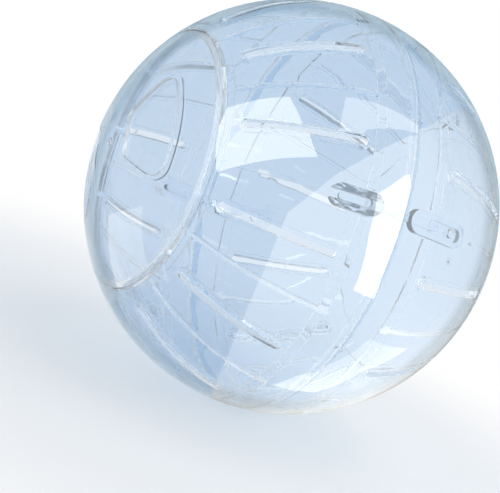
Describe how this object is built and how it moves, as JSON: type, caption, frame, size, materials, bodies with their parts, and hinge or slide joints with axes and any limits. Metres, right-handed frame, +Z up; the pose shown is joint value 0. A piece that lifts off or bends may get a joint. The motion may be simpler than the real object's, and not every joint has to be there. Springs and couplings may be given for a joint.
{
  "type": "hamster ball",
  "caption": "Clear hollow hamster exercise ball of vented half shells, with a round pull-off lid at one pole and snap clasps inside the seam.",
  "frame": {"origin": "centre of the ball", "axes": "+Y along the polar axis from the lid towards the closed pole, -Y out through the lid, +Z up"},
  "size_m": [0.178, 0.178, 0.178],
  "materials": {
    "clear_shell": "clear moulded gloss",
    "clear_lid": "clear moulded gloss",
    "clasp_plastic": "clear moulded gloss, slightly darker"
  },
  "bodies": {
    "front": {"front_half": "clear_shell", "catch_right": "clasp_plastic", "catch_left": "clasp_plastic"},
    "back": {"back_half": "clear_shell", "tongue_right": "clasp_plastic", "tongue_left": "clasp_plastic"},
    "lid": {"lid": "clear_lid"}
  },
  "joints": [
    {"name": "halves_pull_apart", "type": "slide", "parent": "front", "child": "back", "axis": [0, 1, 0], "range_m": [0, 0.08]},
    {"name": "lid_pull_off", "type": "slide", "parent": "front", "child": "lid", "axis": [0, -1, 0], "range_m": [0, 0.06]}
  ]
}
